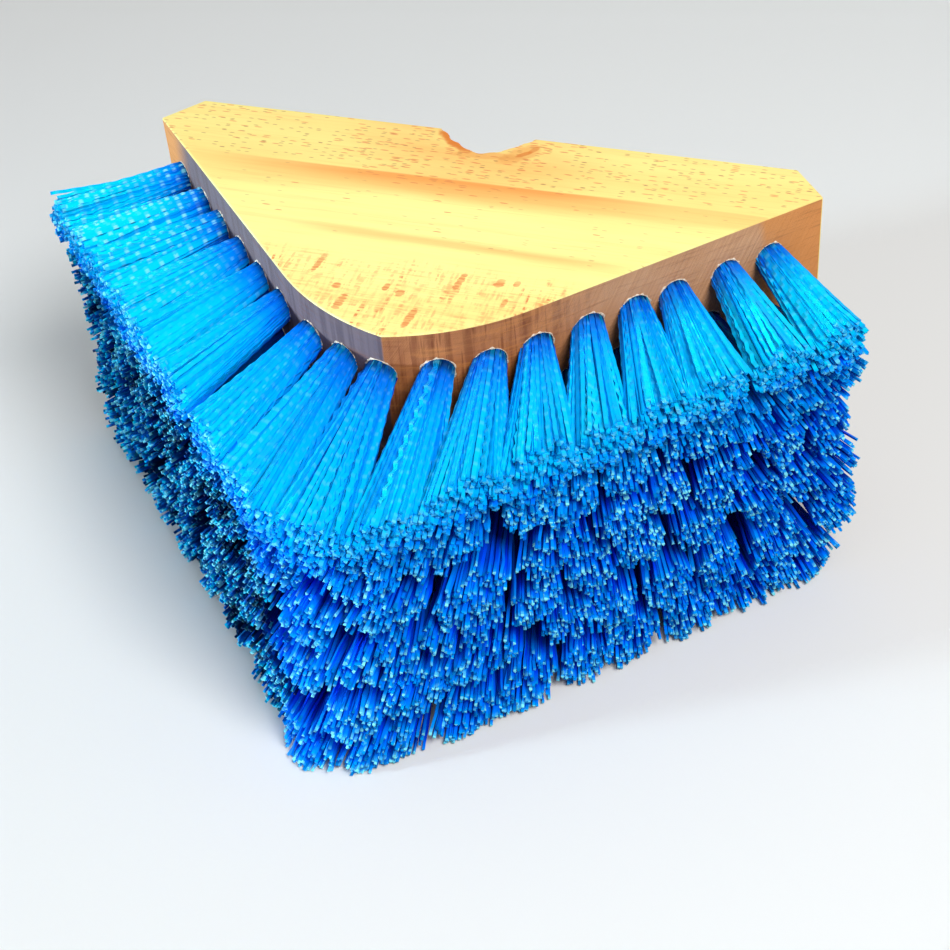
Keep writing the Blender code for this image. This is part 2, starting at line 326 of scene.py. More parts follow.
tufts = tuftList()


# Beech with its fibres along X: growth bands, pores and rays, and a look for each way of cutting it
beech = {
    "cream": srgb(255, 250, 158),
    "honey": srgb(255, 216, 126),
    "heart": srgb(250, 166, 84),
    "pore": srgb(186, 112, 56),
    "fleck": srgb(236, 146, 78),
    "scorch": srgb(226, 124, 40),
    "tan": srgb(222, 168, 124),
    "tanDark": srgb(196, 138, 96),
    "noseTan": srgb(202, 128, 76),
    "noseDark": srgb(132, 68, 34),
    "corner": srgb(226, 146, 76),
    # painted shade: the left side face's darker grey-blue
    "leftShade": srgb(102, 96, 106),
    "leftShadeDark": srgb(66, 60, 68),
    "leftShadeShare": 0.88,
    "bore": srgb(214, 136, 74),
    "boreDark": srgb(160, 88, 42),
    "torn": srgb(238, 224, 204),
    "tornDark": srgb(206, 186, 160),
    "relief": 0.0003,
    "specular": 0.3,
    # where things lie, in metres: the streaks and pores of the top, then the colours of the sides
    "heartEdge": 0.0490,
    "heartFade": 0.0125,
    "heartLeft": (-0.084, -0.020),
    "heartRight": (0.016, 0.060),
    "lowStreak": 0.0215,
    "lowHalf": 0.0030,
    "lowLeft": (-0.045, -0.018),
    "lowRight": (0.030, 0.060),
    "poresFrom": (0.016, 0.026),
    "rearFrom": 0.0500,
    "notchAt": 0.064,
    "notchReach": (0.010, 0.030),
    "noseFrom": 0.0130,
    "cornerFrom": (0.0755, 0.0775),
    "noseUntil": (-0.002, 0.022),
    # a band of painted shade about the crease in the nose's middle
    "noseShadeAt": 0.001,
    "noseShadeHalf": 0.010,
    "leftShadeUntil": (0.0470, 0.0560),
    # ray flecks by the nose in millimetres: x, y, length and width
    "flecks": (
        (4.2, -7.4, 8.0, 2.0),
        (-14.0, -5.2, 6.4, 2.4),
        (-24.2, 8.8, 8.6, 1.6),
        (-16.8, 0.9, 2.6, 2.6),
        (11.6, 8.4, 7.0, 1.8),
        (21.1, 10.0, 3.2, 2.6),
        (25.2, 10.6, 2.4, 1.6),
        (24.3, 2.9, 3.4, 1.4),
        (-5.0, 2.7, 2.8, 1.6),
        (-1.0, 1.2, 2.8, 2.2),
    ),
    # burnt places by the bore in millimetres: x, y, length, width, turn in degrees and depth
    "scorches": (
        (-7.8, 65.2, 13.0, 4.2, -38, 0.95),
        (11.6, 63.0, 5.0, 1.6, 40, 0.75),
        (13.6, 65.4, 4.0, 1.6, 60, 0.55),
        (3.0, 60.6, 19.0, 3.2, 6, 0.35),
        (10.5, 62.6, 12.0, 6.0, 45, 0.38),
    ),
}


def stained(g, colour, noise, low, high, share, tint):  # a tint where the noise is high
    return g.mix(g.smooth(noise, low, high) * share, colour, beech[tint])


# short strokes, drawn in a share of the cells
def dashes(g, along, across, alongScale, acrossScale, share, offset):
    at = g.combine(along * alongScale + offset, across * acrossScale, 0.0)
    inputs = {"Vector": at, "Scale": 1.0, "Randomness": 0.9}
    cell = g.add("ShaderNodeTexVoronoi", {"voronoi_dimensions": "2D"}, inputs)
    pick = g.separate(Wire(g, cell.socket.node.outputs["Color"]))[0]
    return (1 - g.smooth(cell, 0.20, 0.36)) * (pick < share)


def planedLook(g, x, y, z, cloud):
    across = y + (cloud(7, 30, 30, 2) - 0.5) * 0.004
    slow = cloud(10, 62, 62, 3, 4)
    fibre = cloud(45, 1500, 1500, 3, 3)
    streak = cloud(12, 330, 330, 3, 7)
    colour = stained(g, beech["cream"], slow, 0.44, 0.68, 0.42, "honey")
    colour = stained(g, colour, across, 0.030, 0.052, 0.45, "honey")
    colour = stained(g, colour, streak, 0.46, 0.72, 0.38, "honey")
    # the broad heart streak has a sharp rear edge and fades towards the nose
    behind = beech["heartEdge"] - across + (streak - 0.5) * 0.0016
    fade = 1 - g.smooth(behind, 0.0006, beech["heartFade"])
    ends = g.smooth(x, *beech["heartLeft"]) * (1 - g.smooth(x, *beech["heartRight"]) * 0.6)
    heart = g.smooth(behind, 0, 0.0006) * fade * ends * (0.55 + streak * 0.8)
    colour = g.mix(heart, colour, beech["heart"])
    # a narrower streak lies nearer to the nose
    aside = g.math("ABSOLUTE", across - beech["lowStreak"] + (slow - 0.5) * 0.006)
    low = 1 - g.smooth(aside, 0.0003, beech["lowHalf"])
    lowEnds = g.smooth(x, *beech["lowLeft"]) * (1 - g.smooth(x, *beech["lowRight"]))
    colour = g.mix(low * lowEnds * (0.1 + streak * 0.75), colour, beech["heart"])
    colour = stained(g, colour, fibre, 0.50, 0.78, 0.22, "heart")
    # short pores, thick on the ground towards the back
    rear = g.smooth(across, beech["rearFrom"] - 0.001, beech["rearFrom"] + 0.001)
    middle = g.smooth(across, *beech["poresFrom"])
    pores = dashes(g, x, y, 400, 2300, middle * 0.028 + rear * 0.10, 0)
    bold = dashes(g, x, y, 260, 1600, middle * 0.006 + rear * 0.08, 40)
    fromNotch = g.vector("LENGTH", g.combine(x * 0.7, y - beech["notchAt"], 0.0))
    nearNotch = 1 - g.smooth(fromNotch, *beech["notchReach"])
    torn = dashes(g, x, y, 240, 1300, nearNotch * 0.24, 90)
    colour = g.mix(nearNotch * g.smooth(slow, 0.35, 0.65) * 0.45, colour, beech["heart"])
    colour = g.mix(pores * (0.40 + rear * 0.35), colour, beech["pore"])
    colour = g.mix(bold * 0.80, colour, beech["fleck"])
    colour = g.mix(torn * 0.85, colour, beech["fleck"])
    # the drill tore and burnt the wood by the bore
    wander = (cloud(420, 420, 420, 2, 51) - 0.5) * 1.2
    for left, front, length, width, turn, depth in beech["scorches"]:
        aside, ahead = x - left / 1000, y - front / 1000
        leng = (aside * cos(radians(turn)) + ahead * sin(radians(turn))) * (2000 / length)
        wide = (ahead * cos(radians(turn)) - aside * sin(radians(turn))) * (2000 / width)
        spot = 1 - g.smooth(leng * leng + wide * wide + wander, 0.5, 1.3)
        colour = g.mix(spot * depth, colour, beech["scorch"])
    # by the nose the rays lie flat, as flecks and fine lines along Y
    edge = across + (cloud(55, 55, 55, 2, 5) - 0.5) * 0.016
    nose = 1 - g.smooth(edge, beech["noseFrom"] - 0.006, beech["noseFrom"] + 0.002)
    lines = cloud(780, 90, 90, 2, 23)
    threads = cloud(90, 2200, 2200, 1, 29)
    patches = g.smooth(cloud(150, 60, 60, 3, 31), 0.50, 0.66)
    small = dashes(g, y, x, 210, 800, nose * 0.16, 60)
    ragged = (cloud(170, 1400, 1400, 2, 41) - 0.5) * 2.6
    marks = small * 0.4
    for left, front, length, width in beech["flecks"]:
        aside = (x - left / 1000 - (y - front / 1000) * 0.12) * (2000 / width)
        ahead = (y - front / 1000) * (2000 / length)
        reach = aside * aside + (ahead * ahead) ** 2 + ragged
        marks = g.math("MAXIMUM", marks, 1 - g.smooth(reach, 0.5, 1.1))
    weave = g.smooth(cloud(260, 1700, 1700, 1, 61), 0.42, 0.60)
    comb = g.smooth(cloud(900, 130, 130, 2, 67), 0.46, 0.62)
    colour = g.mix(nose * comb * (weave * 0.75 + 0.08) * (0.45 + patches), colour, beech["fleck"])
    colour = g.mix(nose * g.smooth(lines, 0.50, 0.70) * 0.16, colour, beech["fleck"])
    colour = g.mix(nose * g.smooth(threads, 0.5, 0.75) * 0.30, colour, beech["heart"])
    colour = g.mix(nose * marks * (0.65 + weave * 0.3), colour, beech["fleck"])
    height = fibre * 0.4 - pores * 0.5 - bold * 0.5 - torn
    return colour, height


def sawnLook(g, x, y, z, cloud):
    along = (g.math("ABSOLUTE", x) + y) * 0.707
    slow = cloud(40, 40, 90, 3, 2)
    grain = cloud(110, 110, 1500, 3, 5)
    arcs = along * 0.87 - z * 0.5
    broad = g.add("ShaderNodeTexNoise", {"noise_dimensions": "1D"}, {"W": arcs * 230, "Detail": 1.5})
    fine = g.add("ShaderNodeTexNoise", {"noise_dimensions": "1D"}, {"W": arcs * 1500, "Detail": 2})
    colour = stained(g, beech["tan"], slow, 0.35, 0.65, 0.5, "tanDark")
    colour = stained(g, colour, broad, 0.42, 0.62, 0.45, "tanDark")
    colour = stained(g, colour, fine, 0.5, 0.7, 0.22, "noseTan")
    # past a growth ring at the rear corner the wood turns orange, and round the nose brown
    corner = g.smooth(g.math("ABSOLUTE", x) + (slow - 0.5) * 0.002, *beech["cornerFrom"])
    colour = g.mix(corner * 0.8, colour, beech["corner"])
    nose = 1 - g.smooth(y + (slow - 0.5) * 0.010, *beech["noseUntil"])
    stripes = cloud(520, 520, 26, 2, 11)
    cracks = cloud(1500, 1500, 60, 2, 13)
    rings = cloud(60, 60, 900, 2, 17)
    blotch = cloud(90, 90, 260, 2, 19)
    brown = stained(g, beech["noseTan"], stripes, 0.40, 0.64, 0.60, "noseDark")
    brown = stained(g, brown, cracks, 0.54, 0.66, 0.60, "noseDark")
    brown = stained(g, brown, rings, 0.5, 0.66, 0.40, "corner")
    brown = stained(g, brown, blotch, 0.55, 0.70, 0.40, "corner")
    colour = g.mix(nose, colour, brown)
    # painted shade: darker about the crease in the middle of the nose
    middle = 1 - g.smooth(g.math("ABSOLUTE", x - beech["noseShadeAt"]), 0.0, beech["noseShadeHalf"])
    colour = g.mix(middle * 0.35, colour, beech["noseDark"])
    # painted shade: the left side face is painted a darker grey-blue, apart from its rear corner
    lines = g.smooth(stripes, 0.42, 0.66) * 0.5 + g.smooth(fine, 0.5, 0.7) * 0.3
    grey = g.mix(lines, beech["leftShade"], beech["leftShadeDark"])
    rear = g.smooth(y + (slow - 0.5) * 0.004, *beech["leftShadeUntil"])
    left = g.smooth(0 - x, -0.0002, 0.0006) * (1 - rear)
    colour = g.mix(left * beech["leftShadeShare"], colour, grey)
    colour = stained(g, colour, grain, 0.52, 0.75, 0.30, "noseDark")
    height = fine * 1.2 + broad + grain * 0.8 + stripes * nose
    return colour, height


def drilledLook(g, x, y, z, cloud):
    scorch = cloud(90, 300, 300, 3, 3)
    rings = cloud(40, 40, 1800, 2, 9)
    colour = g.mix(g.smooth(scorch, 0.35, 0.65), beech["bore"], beech["boreDark"])
    colour = stained(g, colour, rings, 0.5, 0.7, 0.3, "boreDark")
    return colour, scorch + rings


def tornLook(g, x, y, z, cloud):
    fuzz = cloud(900, 2600, 2600, 3, 3)
    colour = g.mix(g.smooth(fuzz, 0.35, 0.65), beech["torn"], beech["tornDark"])
    return colour, fuzz


def beechMaterial(name, look, rough, bump):
    material = bpy.data.materials.new(name)
    material.use_nodes = True
    g = Graph(material.node_tree)
    shader = material.node_tree.nodes["Principled BSDF"]
    x, y, z = g.separate(g.add("ShaderNodeTexCoord", {}, {}, 3))

    def cloud(alongX, alongY, alongZ, detail=3, offset=0):
        at = g.combine(x * alongX + offset, y * alongY + offset, z * alongZ)
        return g.add("ShaderNodeTexNoise", {}, {"Vector": at, "Scale": 1.0, "Detail": detail})

    colour, height = look(g, x, y, z, cloud)
    relief = g.add("ShaderNodeBump", {}, {"Strength": bump, "Distance": beech["relief"], "Height": height})
    g.tree.links.new(colour.socket, shader.inputs["Base Color"])
    g.tree.links.new((rough + height * 0.08).socket, shader.inputs["Roughness"])
    g.tree.links.new(relief.socket, shader.inputs["Normal"])
    shader.inputs["Specular IOR Level"].default_value = beech["specular"]
    return material


woods = [
    beechMaterial("beechPlaned", planedLook, 0.50, 0.20),
    beechMaterial("beechSawn", sawnLook, 0.62, 0.45),
    beechMaterial("beechDrilled", drilledLook, 0.75, 0.7),
    beechMaterial("beechTorn", tornLook, 0.85, 0.9),
]
planedSlot, sawnSlot, drilledSlot, tornSlot = range(len(woods))


def holeCutters():
    shape = bmesh.new()
    radius, depth, lead = rows["holeRadius"], rows["holeDepth"], rows["drillLead"]
    for tuft in tufts:
        upright = tuft["axis"].to_track_quat("Z", "Y").to_matrix().to_4x4()
        where = Matrix.Translation(tuft["root"] + tuft["axis"] * (lead - depth) / 2) @ upright
        size = {"segments": rows["holeSides"], "radius1": radius, "radius2": radius, "depth": lead + depth}
        bmesh.ops.create_cone(shape, cap_ends=True, matrix=where, **size)
    return meshFrom("holeCutter", shape)


def socketCutter():
    inward = Vector((0, -cos(block["socketSlope"]), -sin(block["socketSlope"])))
    mouth = Vector((0, block["backY"], block["height"] - block["socketDrop"]))
    upright = (-inward).to_track_quat("Z", "Y").to_matrix()
    taper = (block["socketMouth"] - block["socketEnd"]) / block["socketDepth"]
    lead, rings, sides = block["socketLead"], block["socketRings"], block["socketSides"]
    coarse, fine = block["chipScales"]
    shape = bmesh.new()
    loops = []
    for n in range(rings + 1):
        depth = block["socketDepth"] - (block["socketDepth"] + lead) * n / rings
        radius = block["socketMouth"] - taper * depth
        loop = []
        for k in range(sides):
            spoke = upright @ Vector((cos(2 * pi * k / sides), sin(2 * pi * k / sides), 0))
            point = mouth + inward * depth + spoke * radius
            # wood that broke out unevenly stands into the bore where it meets the top
            nearTop = max(0, 1 - abs(point.z - block["height"]) / block["tearBand"])
            ledge = sin(pi * min(1, abs(spoke.x))) ** 2 * block["tear"]
            chip = noise.noise(point * coarse) + block["fineChips"] * noise.noise(point * fine)
            loop.append(shape.verts.new(point + spoke * nearTop * (chip * block["chips"] - ledge)))
        loops.append(loop)
    for low, high in zip(loops, loops[1:]):
        for k in range(sides):
            shape.faces.new((low[k], low[(k + 1) % sides], high[(k + 1) % sides], high[k]))
    shape.faces.new(loops[0])
    shape.faces.new(loops[-1])
    bmesh.ops.recalc_face_normals(shape, faces=shape.faces)
    return meshFrom("socketCutter", shape)


def makeBlock():
    half = block["width"] / 2 - block["clipWidth"]
    outline = sideOutline() + [Vector((half, block["backY"])), Vector((-half, block["backY"]))]
    body = place("beechBlock", prism("beechBlock", outline, 0, block["height"]), *woods)
    for face in body.data.polygons:
        face.material_index = planedSlot if abs(face.normal.z) > 0.5 else sawnSlot
    edge = body.modifiers.new("arris", "BEVEL")
    edge.width = block["arris"]
    edge.segments = block["arrisSteps"]
    edge.limit_method = "ANGLE"
    edge.angle_limit = block["arrisAbove"]
    edge.material = planedSlot
    cutters = [place(mesh.name, mesh, *woods) for mesh in (socketCutter(), holeCutters())]
    for cutter in cutters:
        for face in cutter.data.polygons:
            face.material_index = drilledSlot
        cut = body.modifiers.new(cutter.name, "BOOLEAN")
        cut.solver = "EXACT"
        cut.object = cutter
    mesh = applied(body)
    for cutter in cutters:
        bpy.data.objects.remove(cutter)
    mesh.shade_smooth()
    mesh.set_sharp_from_angle(angle=block["sharpAbove"])
    return body


blockPiece = makeBlock()
print("block made", len(blockPiece.data.polygons), "faces")


# The fibres that the drill lifted round each hole
rims = {
    "seed": 12,
    "sides": 36,
    "width": 0.00032,
    "lift": 0.00012,
    "root": 0.0008,
    "inside": 0.0002,
    "overlap": 0.00005,
    "frays": (0.3, 1.9),
    "margin": 0.01,
    "rayLead": 0.03,
}


def makeRims():
    outline = sideOutline() + [Vector((0, block["backY"]))]
    wall = treeFrom(prism("wall", outline, -rims["margin"], block["height"] + rims["margin"]))
    shape = bmesh.new()
    dice = random.Random(rims["seed"])
    count, width, lift, overlap = rims["sides"], rims["width"], rims["lift"], rims["overlap"]
    leastFray, moreFray = rims["frays"]
    # each corner of the rim's section: how far it lies out from the hole and up from the wall
    section = ((-rims["inside"], -rims["root"]), (-overlap, lift), (width * 0.5, lift), (width, -overlap))
    for tuft in tufts:
        axis = tuft["axis"]
        sideways = axis.cross(Vector((0, 0, 1))).normalized()
        upward = sideways.cross(axis)
        frays = [leastFray + moreFray * dice.random() ** 3 for _ in range(count)]
        loops = []
        for outwards, raised in section:
            loop = []
            for k in range(count):
                spoke = sideways * cos(2 * pi * k / count) + upward * sin(2 * pi * k / count)
                out = outwards * frays[k] if outwards > 0 else outwards
                up = raised * frays[k] if raised > 0 else raised
                start = tuft["root"] + spoke * (rows["holeRadius"] + out) + axis * rims["rayLead"]
                hit, normal = wall.ray_cast(start, -axis)[:2]
                loop.append(shape.verts.new(hit + normal * up))
            loops.append(loop)
        for shadedCopy, litCopy in zip(loops, loops[1:] + loops[:1]):
            for k in range(count):
                shape.faces.new((shadedCopy[k], shadedCopy[(k + 1) % count], litCopy[(k + 1) % count], litCopy[k]))
    bmesh.ops.recalc_face_normals(shape, faces=shape.faces)
    mesh = meshFrom("holeRims", shape)
    mesh.shade_smooth()
    return place("holeRims", mesh, woods[tornSlot])


rimPiece = makeRims()
print("hole rims made")


# Bristles: each filament is drawn, crimped, fanned out and trimmed in geometry nodes
bristle = {
    # six values in brackets stand for the six rows, from the top down
    "filaments": (280, 160, 160, 160, 160, 180),
    "rootRadius": 0.0037,
    "crowding": 0.38,
    "upSpreads": (0.0060, 0.0058, 0.0056, 0.0056, 0.0056, 0.0064),
    "sideShares": (0.56, 0.42, 0.39, 0.39, 0.39, 0.41),
    "sideSpreads": (0.0042, 0.0132),
    "topSpreads": (0.0050, 0.0092),
    "endSpread": 0.0064,
    "shortEndShare": 1.75,
    "endTall": 1.2,
    "filamentRadii": (0.00058, 0.00048, 0.00045, 0.00045, 0.00045, 0.00045),
    "filamentSides": 3,
    "crimpPitches": (0.0044, 0.0044, 0.0090, 0.0090, 0.0090, 0.0090),
    "crimpHeight": 0.00009,
    "crimpMost": 0.00026,
    "crimpColumns": 4.2,
    "crimpTurn": 1.1,
    "crimpWander": 0.9,
    "ragged": 0.0007,
    "lockRagged": (0.0010, 0.0028, 0.0032, 0.0032, 0.0032, 0.0024),
    "domes": (0.0008, 0.0020, 0.0022, 0.0022, 0.0022, 0.0018),
    "overhang": 0.0012,
    # one filament in so many belongs to the core
    "coreEvery": 6,
    "coreShare": 0.22,
    "coreDepth": 0.0035,
    "sink": 0.0040,
    "bend": 0.0008,
    "stray": 0.012,
    "strayFrom": 0.96,
    "strayMore": 6,
    "clumps": (0.12, 0.36, 0.44, 0.44, 0.44, 0.40),
    "clumpCells": 2.3,
    "longest": 0.070,
    "leastHeight": 0.0006,
    # the lower rows on the left are tighter and more ragged
    "leftFrom": -0.012,
    "leftTight": 0.90,
    "leftRagged": 1.5,
    # painted highlights on each crimp crest, strongest on the leftmost tufts of the top row
    "gloss": {0: 0.75, 1: 0.75, 2: 0.60, 3: 0.35},
    "plainGlint": 0.12,
    # how much of each row, and of the top row's upper side, takes the painted lit colours rather than the
    # painted shade
    "exposed": (1.0, 0.25, 0, 0, 0, 0),
    "litFrom": (-0.75, 0.10),
    # how strongly the cut ends are frosted, and how much painted light and shade lies on the ends on the
    # left
    "leftFrostAndShade": 1.0,
    "rightFrostAndShade": 0.5,
    "topFrostAndShade": 0.4,
    "tintFrom": 0.010,
    "tintReach": 0.060,
    "sunkShare": 0.90,
    "flankShare": 0.65,
    # between which shares of a filament's length one colour passes into the next
    "mouthShadeUntil": (0.075, 0.150),
    "rootUntil": (0.12, 0.42),
    "middleUntil": (0.35, 0.90),
    "shadedRootUntil": (0.66, 0.93),
    "shadedMiddleUntil": (0.89, 0.985),
    "paleFrom": (0.15, 0.60),
    "flankUntil": (0.955, 0.985),
    "cutFrom": (0.970, 0.992),
    "faceFrom": (0.9975, 0.9995),
    # painted shade: the mouth colour darkens the filaments inside the hole's rim
    "mouth": srgb(0, 44, 104),
    "root": srgb(0, 112, 228),
    "middle": srgb(0, 172, 255),
    "end": srgb(0, 194, 255),
    "pale": srgb(4, 222, 255),
    "deep": srgb(0, 142, 250),
    # painted highlight on the crimp crests
    "crest": srgb(150, 236, 255),
    # painted shade: the next three colours are a darker copy of the colours, for filaments that lie in
    # shade
    "shadedRoot": srgb(0, 14, 176),
    "shadedMiddle": srgb(0, 62, 238),
    "shadedEnd": srgb(0, 124, 246),
    "cut": srgb(0, 172, 252),
    # painted light and shade on the left: brighter cut ends, a near-black shade, and a frosted colour that
    # is partly real frosting and partly painted highlight
    "leftLitCut": srgb(0, 232, 255),
    "paintedShade": srgb(0, 8, 56),
    "frosted": srgb(136, 246, 255),
    "sheen": srgb(30, 200, 255),
    "specular": 0.30,
}


def bristleMaterial():
    material = bpy.data.materials.new("bristleFilament")
    material.use_nodes = True
    g = Graph(material.node_tree)
    shader = material.node_tree.nodes["Principled BSDF"]
    names = ("along", "tone", "crest", "gloss", "lit", "frost", "tint", "sunk")
    read = {name: g.add("ShaderNodeAttribute", {"attribute_name": name}, {}, 2) for name in names}
    along, tone = read["along"], read["tone"]
    leftOnly = g.smooth(read["frost"], 0.7, 1.0)

    def share(window):
        return g.smooth(along, *bristle[window])

    # painted shade: the lit copy starts darkest at the hole's mouth, where the rim shades the filaments,
    # and grows paler towards the end
    litCopy = g.mix(share("mouthShadeUntil"), bristle["mouth"], bristle["root"])
    litCopy = g.mix(share("rootUntil"), litCopy, bristle["middle"])
    litCopy = g.mix(share("middleUntil"), litCopy, bristle["end"])
    # painted shade: a darker copy of the same colours for filaments that lie in shade, mixed in where the
    # lit share is low
    shadedCopy = g.mix(share("shadedRootUntil"), bristle["shadedRoot"], bristle["shadedMiddle"])
    shadedCopy = g.mix(share("shadedMiddleUntil"), shadedCopy, bristle["shadedEnd"])
    colour = g.mix(read["lit"], shadedCopy, litCopy)
    colour = g.mix(read["tint"] * read["lit"] * share("paleFrom") * 0.75, colour, bristle["pale"])
    colour = g.mix(g.smooth(tone, 0.55, 1.0) * 0.25, colour, bristle["pale"])
    colour = g.mix(g.smooth(tone, 0.40, 0.0) * 0.35, colour, bristle["deep"])
    # painted highlight: a pale spot on each crimp crest of the lit filaments
    shine = 0.15 + g.smooth(tone, 0.45, 0.8) * 0.85
    spark = g.smooth(read["crest"], 0.62, 0.92) * read["gloss"] * read["lit"] * shine
    colour = g.mix(spark, colour, bristle["crest"])
    # cut ends: some are pale and some dark, above all on the left, where the brighter ends are painted
    # light, the dark ones painted shade, and the frosted ones partly real frosting and partly painted
    # highlight
    ends = g.mix(leftOnly, bristle["cut"], bristle["leftLitCut"])
    ends = g.mix(read["frost"] * g.smooth(tone, 0.35, 0.12), ends, bristle["paintedShade"])
    ends = g.mix(read["frost"] * g.smooth(tone, 0.62, 0.86), ends, bristle["frosted"])
    colour = g.mix(share("cutFrom") * 0.8, colour, ends)
    whitened = g.math("MINIMUM", read["frost"] * 2, 1.0)
    colour = g.mix(share("faceFrom") * g.smooth(tone, 0.15, 0.65) * whitened, colour, bristle["frosted"])
    # painted shade: on the left, locks that lie back are painted dark, and so are the sides of the
    # filaments
    behind = leftOnly * g.smooth(read["sunk"], 0.36, 0.62)
    colour = g.mix(behind * bristle["sunkShare"], colour, bristle["paintedShade"])
    flank = leftOnly * (1 - share("flankUntil")) * (1 - read["lit"])
    colour = g.mix(flank * bristle["flankShare"], colour, bristle["paintedShade"])
    g.tree.links.new(colour.socket, shader.inputs["Base Color"])
    g.tree.links.new((0.42 + tone * 0.14).socket, shader.inputs["Roughness"])
    shader.inputs["Specular IOR Level"].default_value = bristle["specular"]
    shader.inputs["Specular Tint"].default_value = bristle["sheen"]
    return material


treeSizes = {
    "Root radius": bristle["rootRadius"],
    "Crimp height": bristle["crimpHeight"],
    "Most crimp": bristle["crimpMost"],
    "Crimp columns": bristle["crimpColumns"],
    "Ragged ends": bristle["ragged"],
    "Sink": bristle["sink"],
    "Bend": bristle["bend"],
    "Stray": bristle["stray"],
    "Overhang": bristle["overhang"],
    "Core depth": bristle["coreDepth"],
    "Lock cells": bristle["clumpCells"],
    "Least height": bristle["leastHeight"],
}
rowSizes = ("Filament radius", "Crimp pitch", "Lock pull", "Ragged locks", "Dome")
goldenAngle = 2.39996  # in radians


